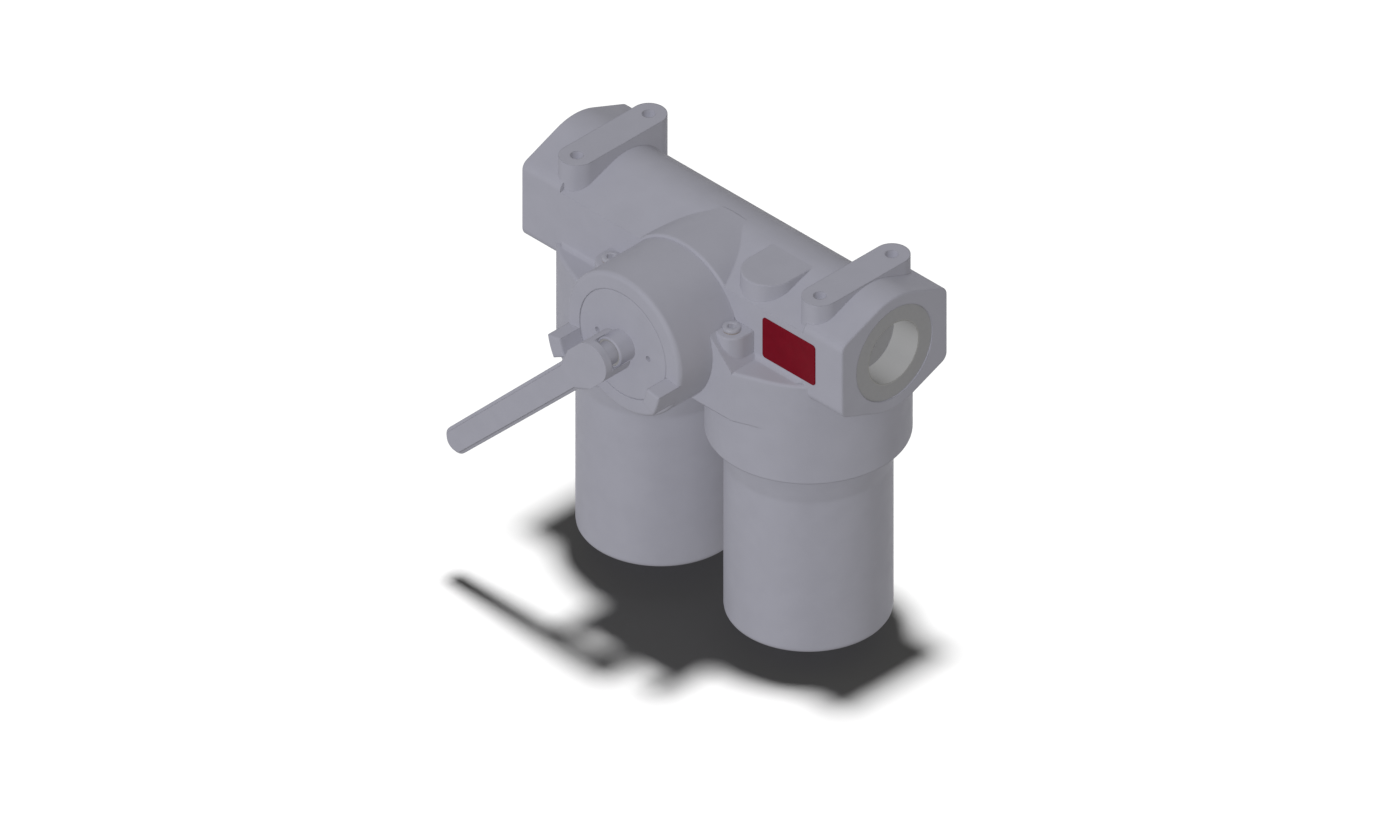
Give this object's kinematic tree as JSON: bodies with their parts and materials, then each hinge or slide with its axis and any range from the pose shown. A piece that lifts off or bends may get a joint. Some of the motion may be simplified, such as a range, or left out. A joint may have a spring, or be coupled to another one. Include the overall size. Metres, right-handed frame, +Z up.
{
  "type": "duplex strainer",
  "caption": "Change-over duplex filter: one cast head with pipe ports in line, a rotary lever valve between screw-in bowls with pleated elements.",
  "frame": {"origin": "centre of the four top mounting holes, on the plane of the two mounting bars", "axes": "+Z up, +X along the ports towards the outlet, -Y towards the lever"},
  "size_m": [0.29, 0.1973, 0.302],
  "materials": {
    "cast_aluminium": "cast, blasted and clear coated, matt grey",
    "bowl_aluminium": "turned and anodised, matt grey",
    "turned_aluminium": "turned, matt grey",
    "lever_aluminium": "cast, matt grey",
    "steel": "turned, zinc plated",
    "cap_sheet": "zinc plated sheet",
    "seal_metal": "soft aluminium ring",
    "bronze": "sintered bronze",
    "seal_rubber": "black nitrile rubber",
    "filter_mat": "pleated glass fibre mat with a support mesh",
    "label": "dark red, bare"
  },
  "bodies": {
    "housing": {"filter_head": "cast_aluminium", "label_plate": "label", "valve_cover": "turned_aluminium", "cover_o_ring": "seal_rubber", "shaft_o_ring": "seal_rubber", "front_bush": "bronze", "rear_bush": "bronze", "element_top_cap_left": "cap_sheet", "element_bottom_cap_left": "cap_sheet", "element_pleats_left": "filter_mat", "element_core_left": "steel", "element_o_ring_left": "seal_rubber", "bypass_cage_left": "cap_sheet", "bypass_spring_left": "steel", "vent_seal_left": "seal_metal", "element_top_cap_right": "cap_sheet", "element_bottom_cap_right": "cap_sheet", "element_pleats_right": "filter_mat", "element_core_right": "steel", "element_o_ring_right": "seal_rubber", "bypass_cage_right": "cap_sheet", "bypass_spring_right": "steel", "vent_seal_right": "seal_metal"},
    "changeover_valve": {"lever": "lever_aluminium", "lever_pin": "steel", "valve_shaft": "steel", "shaft_circlip": "steel", "changeover_rotor": "turned_aluminium", "rotor_pin": "steel"},
    "bowl_left": {"filter_bowl_left": "bowl_aluminium", "bowl_o_ring_left": "seal_rubber", "drain_seal_left": "seal_metal"},
    "bowl_right": {"filter_bowl_right": "bowl_aluminium", "bowl_o_ring_right": "seal_rubber", "drain_seal_right": "seal_metal"},
    "bypass_left": {"bypass_poppet_left": "steel"},
    "bypass_right": {"bypass_poppet_right": "steel"},
    "vent_left": {"vent_screw_left": "steel"},
    "vent_right": {"vent_screw_right": "steel"},
    "drain_left": {"drain_plug_left": "steel"},
    "drain_right": {"drain_plug_right": "steel"}
  },
  "joints": [
    {"name": "changeover_lever", "type": "hinge", "parent": "housing", "child": "changeover_valve", "pos_m": [0, 0, -0.0591], "axis": [0, -1, 0], "range_deg": [0, 90]},
    {"name": "bowl_left_off", "type": "slide", "parent": "housing", "child": "bowl_left", "axis": [0, 0, -1], "range_m": [0, 0.165]},
    {"name": "bowl_right_off", "type": "slide", "parent": "housing", "child": "bowl_right", "axis": [0, 0, -1], "range_m": [0, 0.165]},
    {"name": "bypass_left_open", "type": "slide", "parent": "housing", "child": "bypass_left", "axis": [0, 0, 1], "range_m": [0, 0.006], "stiffness_N_per_m": 1500, "springref_m": -0.011, "deforming": ["bypass_spring_left"]},
    {"name": "bypass_right_open", "type": "slide", "parent": "housing", "child": "bypass_right", "axis": [0, 0, 1], "range_m": [0, 0.006], "stiffness_N_per_m": 1500, "springref_m": -0.011, "deforming": ["bypass_spring_right"]},
    {"name": "vent_left_turn", "type": "hinge", "parent": "housing", "child": "vent_left", "pos_m": [-0.0546, -0.057, -0.0423], "axis": [0, 0, 1], "range_deg": [0, 360]},
    {"name": "vent_right_turn", "type": "hinge", "parent": "housing", "child": "vent_right", "pos_m": [0.0546, -0.057, -0.0423], "axis": [0, 0, 1], "range_deg": [0, 360]},
    {"name": "drain_left_turn", "type": "hinge", "parent": "bowl_left", "child": "drain_left", "pos_m": [-0.067, 0, -0.2955], "axis": [0, 0, -1], "range_deg": [0, 360]},
    {"name": "drain_right_turn", "type": "hinge", "parent": "bowl_right", "child": "drain_right", "pos_m": [0.067, 0, -0.2955], "axis": [0, 0, -1], "range_deg": [0, 360]}
  ]
}
